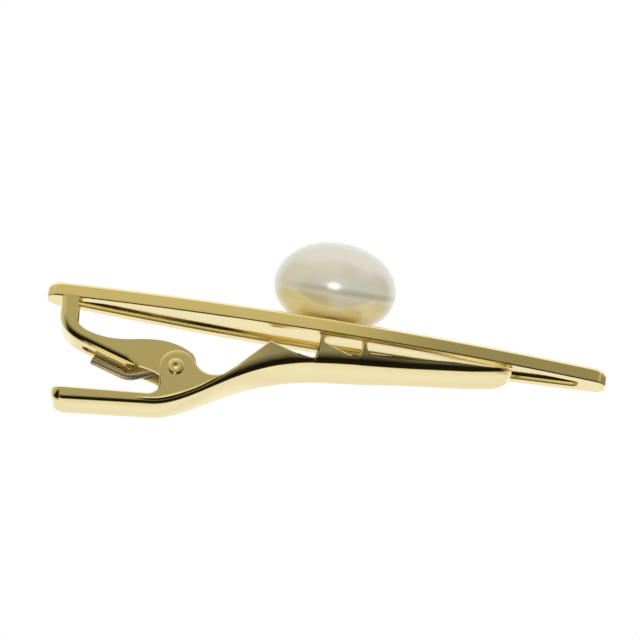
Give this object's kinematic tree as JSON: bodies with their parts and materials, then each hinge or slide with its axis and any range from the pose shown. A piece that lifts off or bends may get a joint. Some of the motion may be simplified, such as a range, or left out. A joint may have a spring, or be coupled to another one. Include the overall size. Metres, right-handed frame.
{
  "type": "tie clip",
  "caption": "Spring tie clip: a tapered bar with a button pearl on its front and, behind it, a toothed jaw with a thumb tab on a riveted hinge.",
  "frame": {"origin": "middle of the bar's back plane, which the tie lies against", "axes": "+X along the bar towards the jaw's nose, +Z out of the bar's front with the pearl, Y across the bar"},
  "size_m": [0.055, 0.012, 0.0205],
  "materials": {
    "gold_plate": "polished pale gold plate",
    "nacre": "lustrous pearl nacre",
    "spring_wire": "drawn spring wire, grey-brown"
  },
  "bodies": {
    "bar": {"front_bar": "gold_plate", "pearl_cup": "gold_plate", "pearl_peg": "gold_plate", "pearl": "nacre", "clip_bracket": "gold_plate", "pivot_pin": "gold_plate", "torsion_spring": "spring_wire"},
    "jaw": {"jaw_lever": "gold_plate"}
  },
  "joints": [
    {"name": "jaw_pivot", "type": "hinge", "parent": "bar", "child": "jaw", "pos_m": [-0.0139, 0, -0.0056], "axis": [0, 1, 0], "range_deg": [0, 27], "stiffness_Nm_per_rad": 0.004, "springref_deg": -28.65, "deforming": ["torsion_spring"]}
  ]
}
